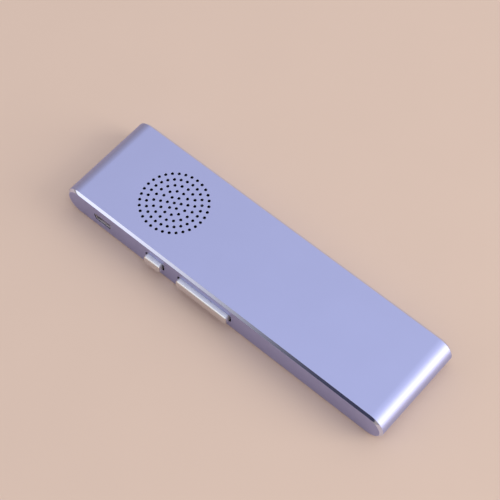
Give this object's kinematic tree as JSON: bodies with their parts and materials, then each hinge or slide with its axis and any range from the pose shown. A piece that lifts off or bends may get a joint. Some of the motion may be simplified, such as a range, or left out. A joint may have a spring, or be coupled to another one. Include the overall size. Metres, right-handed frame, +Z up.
{
  "type": "handheld translator",
  "caption": "Slim aluminium handheld voice translator with round ends, a drilled speaker grille, side keys, a charging socket and two talk keys.",
  "frame": {"origin": "middle of the front panel's outer face, on the surface that the translator lies on", "axes": "+X along the stick, away from the speaker grille; +Z up out of the back with the grille; the side keys and the socket are on the -Y side"},
  "size_m": [0.139, 0.0399, 0.0118],
  "materials": {
    "anodised_shell": "satin blasted and anodised, chamfers cut bright",
    "bright_key": "bright turned and polished",
    "gloss_panel": "high gloss",
    "black_plastic": "fine matt",
    "white_plastic": "satin",
    "board_green": "solder mask",
    "chip_black": "matt",
    "steel": "plated",
    "copper": "bright",
    "rubber": "matt",
    "cell_foil": "satin foil",
    "magnet": "plated",
    "clear_plastic": "clear",
    "red_lead": "satin",
    "black_lead": "satin"
  },
  "bodies": {
    "root": {"back_housing": "anodised_shell", "front_panel": "gloss_panel", "panel_adhesive": "rubber", "inner_frame": "black_plastic", "frame_screw_1": "steel", "frame_screw_2": "steel", "frame_screw_3": "steel", "frame_screw_4": "steel", "frame_screw_5": "steel", "frame_screw_6": "steel", "main_board": "board_green", "usb_shell": "steel", "usb_tongue": "black_plastic", "power_switch_body": "steel", "volume_up_switch_body": "steel", "volume_down_switch_body": "steel", "talk_switch_a_body": "steel", "talk_switch_b_body": "steel", "microphone": "steel", "microphone_boot": "rubber", "status_led": "white_plastic", "light_pipe": "clear_plastic", "radio_shield": "steel", "processor": "chip_black", "memory_chip": "chip_black", "power_chip": "chip_black", "crystal": "steel", "antenna": "white_plastic", "battery_cell": "cell_foil", "battery_pad": "rubber", "battery_connector": "white_plastic", "battery_lead_red": "red_lead", "battery_lead_black": "black_lead", "dust_mesh": "black_plastic", "speaker_gasket": "rubber", "speaker_basket": "black_plastic", "speaker_yoke": "steel", "speaker_magnet": "magnet", "speaker_top_plate": "steel", "speaker_surround": "rubber", "speaker_contact_a": "copper", "speaker_contact_b": "copper"},
    "power_key": {"power_key": "bright_key", "power_switch_plunger": "white_plastic"},
    "volume_rocker": {"volume_rocker": "bright_key", "volume_up_switch_plunger": "white_plastic", "volume_down_switch_plunger": "white_plastic"},
    "talk_key_a": {"talk_key_a": "bright_key", "talk_switch_a_plunger": "white_plastic"},
    "talk_key_b": {"talk_key_b": "bright_key", "talk_switch_b_plunger": "white_plastic"},
    "speaker_cone": {"speaker_cone": "black_plastic", "voice_coil": "copper"}
  },
  "joints": [
    {"name": "power_key_push", "type": "slide", "parent": "root", "child": "power_key", "axis": [0, 1, 0], "range_m": [0, 0.0003], "stiffness_N_per_m": 1500},
    {"name": "volume_rocker_tip", "type": "hinge", "parent": "root", "child": "volume_rocker", "pos_m": [-0.0062, -0.0165, 0.0059], "axis": [0, 0, 1], "range_deg": [-1.2, 1.2], "stiffness_Nm_per_rad": 0.1},
    {"name": "talk_key_a_push", "type": "slide", "parent": "root", "child": "talk_key_a", "axis": [0, 0, 1], "range_m": [0, 0.0004], "stiffness_N_per_m": 1500},
    {"name": "talk_key_b_push", "type": "slide", "parent": "root", "child": "talk_key_b", "axis": [0, 0, 1], "range_m": [0, 0.0004], "stiffness_N_per_m": 1500},
    {"name": "speaker_cone_move", "type": "slide", "parent": "root", "child": "speaker_cone", "axis": [0, 0, 1], "range_m": [-0.00025, 0.00025], "stiffness_N_per_m": 800}
  ]
}
